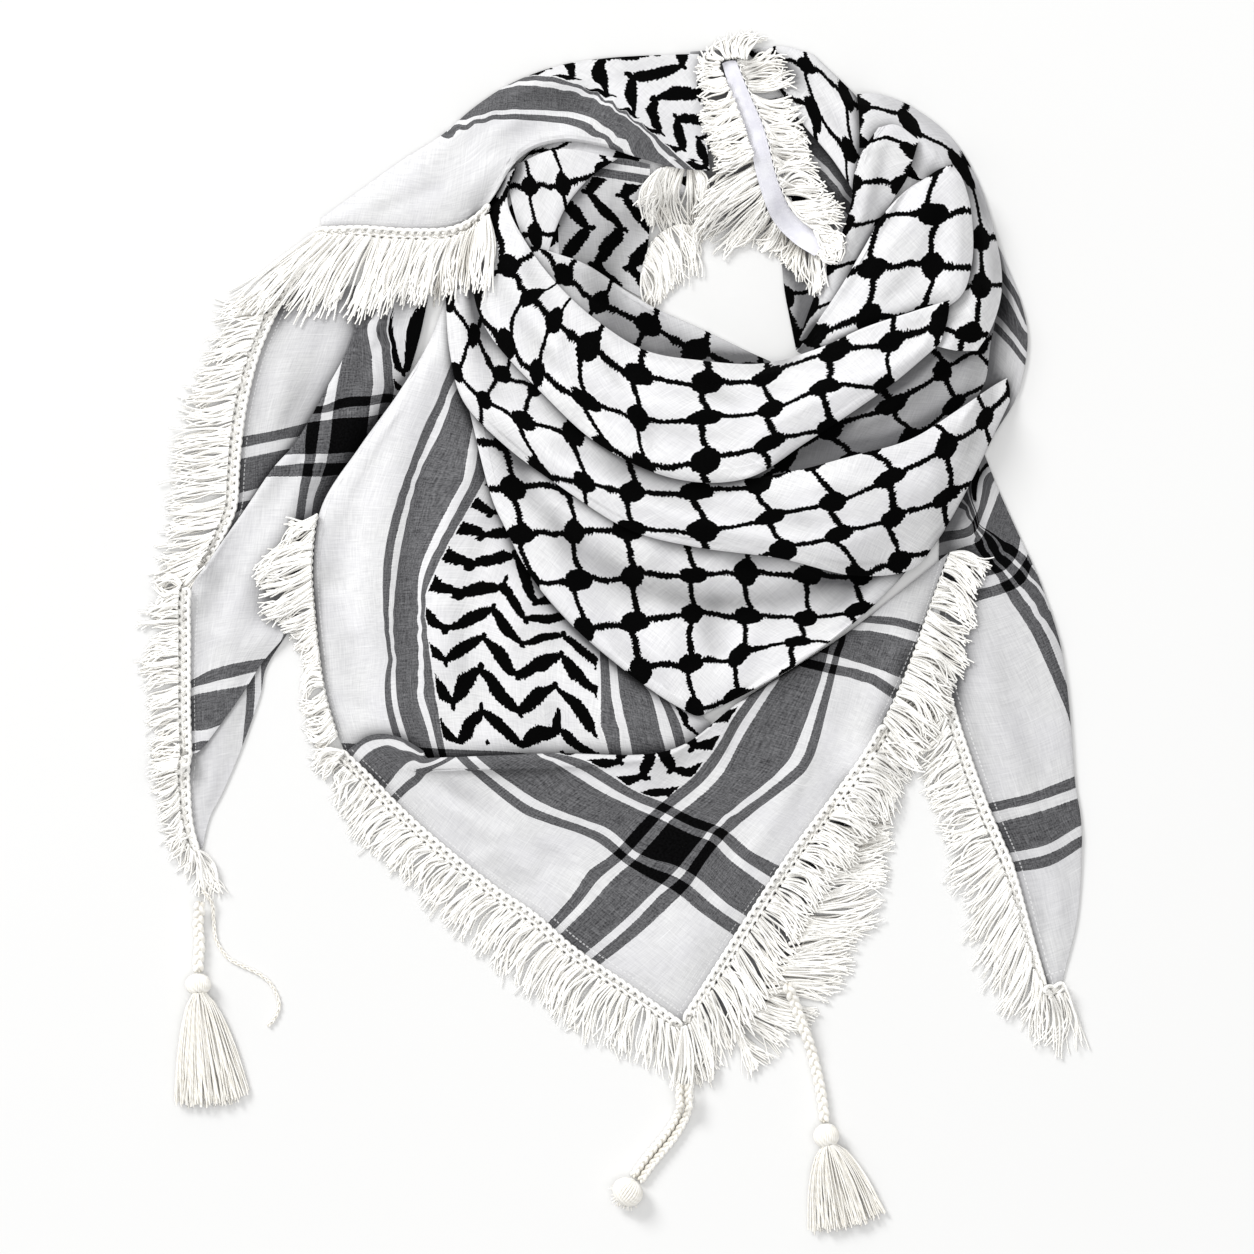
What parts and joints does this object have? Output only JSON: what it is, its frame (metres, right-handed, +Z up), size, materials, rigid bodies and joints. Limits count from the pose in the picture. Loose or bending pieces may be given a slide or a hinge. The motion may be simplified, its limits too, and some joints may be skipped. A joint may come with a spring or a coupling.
{
  "type": "keffiyeh headscarf",
  "caption": "Square cotton head cloth with a woven net pattern and knotted fringe, folded to a triangle, wound once round an open neck and laid flat with corner cords.",
  "frame": {"origin": "centre of the laid cloth's box at its underside, cords left out", "axes": "+Z up off the surface it lies on, +Y from the front point of the cloth towards the back of the neck, +X to the right seen from above"},
  "size_m": [0.679, 0.8641, 0.0619],
  "materials": {
    "striped_cotton": "matte woven cotton",
    "net_cotton": "matte woven cotton",
    "fringe_cotton": "soft twisted cotton yarn"
  },
  "bodies": {
    "root": {"bib_front": "striped_cotton", "bib_side": "striped_cotton", "bib_under": "striped_cotton", "braid_left": "fringe_cotton", "braid_right": "fringe_cotton", "collar": "striped_cotton", "cord_front": "fringe_cotton", "fringe_bib_left": "fringe_cotton", "fringe_bib_right": "fringe_cotton", "fringe_bib_side": "fringe_cotton", "fringe_bib_under": "fringe_cotton", "fringe_inner": "fringe_cotton", "fringe_left_far": "fringe_cotton", "fringe_left_near": "fringe_cotton", "fringe_left_turn": "fringe_cotton", "fringe_neck": "fringe_cotton", "fringe_right_tail": "fringe_cotton", "fringe_right_tip": "fringe_cotton", "fringe_tape_left": "fringe_cotton", "fringe_tape_right": "fringe_cotton", "fringe_wrap": "fringe_cotton", "hem_tape": "striped_cotton", "hidden_layers": "net_cotton", "inner_leaf": "striped_cotton", "inner_net": "striped_cotton", "inner_right": "striped_cotton", "knob_front": "fringe_cotton", "knot_left": "fringe_cotton", "knot_right": "fringe_cotton", "left_tail_far": "striped_cotton", "left_tail_near": "striped_cotton", "left_tail_turn": "striped_cotton", "loose_strand": "fringe_cotton", "neck_back": "striped_cotton", "neck_back_band": "striped_cotton", "neck_back_net": "striped_cotton", "neck_wall_right": "striped_cotton", "net_apron": "striped_cotton", "petal": "striped_cotton", "recess_fold": "striped_cotton", "right_shoulder_under": "striped_cotton", "right_tail": "striped_cotton", "roll_lower": "striped_cotton", "roll_upper": "striped_cotton", "shoulder": "striped_cotton", "shoulder_wrap": "striped_cotton", "tassel_left": "fringe_cotton", "tassel_right": "fringe_cotton"}
  },
  "joints": []
}
